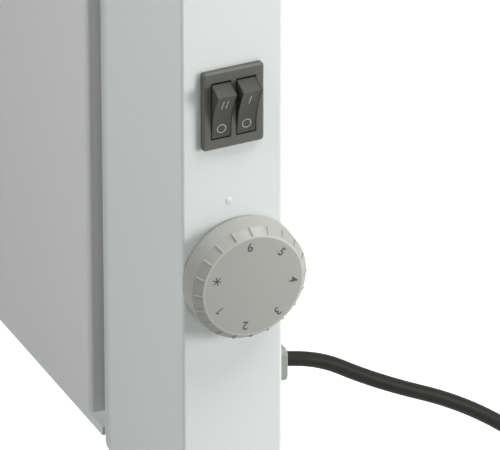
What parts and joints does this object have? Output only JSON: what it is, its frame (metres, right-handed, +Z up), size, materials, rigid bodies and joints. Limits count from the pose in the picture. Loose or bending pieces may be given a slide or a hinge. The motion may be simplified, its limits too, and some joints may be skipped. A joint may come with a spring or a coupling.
{
  "type": "convector heater",
  "caption": "Slim floor-standing panel convector heater with side thermostat knob, double rocker switch, louvred outlet, finned element and mains cord.",
  "frame": {"origin": "on the floor under the middle of the heater and its knob, cord left out", "axes": "+X towards the control side, -Y the front, +Y the back, +Z up"},
  "size_m": [0.6126, 0.388, 0.4],
  "materials": {
    "white_paint": "satin powder coat",
    "panel_paint": "satin powder coat",
    "rear_paint": "satin powder coat",
    "grille_paint": "satin powder coat",
    "zinc_sheet": "zinc plated",
    "sheath_steel": "heat-tinted",
    "fin_aluminium": "mill",
    "reflector_aluminium": "bright",
    "brass_fitting": "turned",
    "brass_tab": "stamped",
    "bulb_copper": "drawn",
    "phenolic": "moulded",
    "nylon": "moulded",
    "shaft_steel": "turned",
    "screw_steel": "zinc plated",
    "knob_grey": "fine grain",
    "switch_grey": "fine grain",
    "rocker_grey": "satin",
    "gland_grey": "satin",
    "cord_sheath": "matt",
    "plug_rubber": "matt",
    "plug_metal": "nickel plated",
    "foot_plastic": "fine grain",
    "pad_rubber": "matt"
  },
  "bodies": {
    "casing": {"right_casing": "white_paint", "left_casing": "white_paint", "front_panel": "panel_paint", "rear_panel": "rear_paint", "outlet_grille": "grille_paint", "inlet_grille": "grille_paint", "right_partition": "zinc_sheet", "left_partition": "zinc_sheet", "heating_tube": "sheath_steel", "heating_fins": "fin_aluminium", "tube_bushes": "brass_fitting", "tube_hanger": "zinc_sheet", "tube_terminals": "brass_tab", "heat_reflector": "reflector_aluminium", "thermostat_body": "phenolic", "thermostat_tabs": "brass_tab", "thermostat_screws": "screw_steel", "sensing_bulb": "bulb_copper", "bulb_clip": "zinc_sheet", "switch_housing": "switch_grey", "switch_tabs": "brass_tab", "thermal_cutout": "phenolic", "cutout_tabs": "brass_tab", "tilt_switch": "phenolic", "terminal_block": "nylon", "cord_gland": "gland_grey", "gland_nut": "gland_grey", "cord": "cord_sheath", "cord_coil": "cord_sheath", "cord_tail": "cord_sheath", "plug_body": "plug_rubber", "plug_pins": "plug_metal", "plug_earth_strips": "plug_metal", "foot_right": "foot_plastic", "foot_left": "foot_plastic", "foot_pads": "pad_rubber", "foot_screws": "screw_steel", "foot_nuts": "screw_steel", "rear_screws": "screw_steel"},
    "thermostat_knob": {"knob": "knob_grey", "thermostat_shaft": "shaft_steel"},
    "power_rocker_one": {"rocker_one": "rocker_grey"},
    "power_rocker_two": {"rocker_two": "rocker_grey"}
  },
  "joints": [
    {"name": "knob_turn", "type": "hinge", "parent": "casing", "child": "thermostat_knob", "pos_m": [0.2937, 0.0031, 0.16], "axis": [1, 0, 0], "range_deg": [0, 294]},
    {"name": "rocker_one_press", "type": "hinge", "parent": "casing", "child": "power_rocker_one", "pos_m": [0.2938, 0.00475, 0.236], "axis": [0, 1, 0], "range_deg": [-33, 0]},
    {"name": "rocker_two_press", "type": "hinge", "parent": "casing", "child": "power_rocker_two", "pos_m": [0.2938, -0.00615, 0.236], "axis": [0, 1, 0], "range_deg": [-33, 0]}
  ]
}
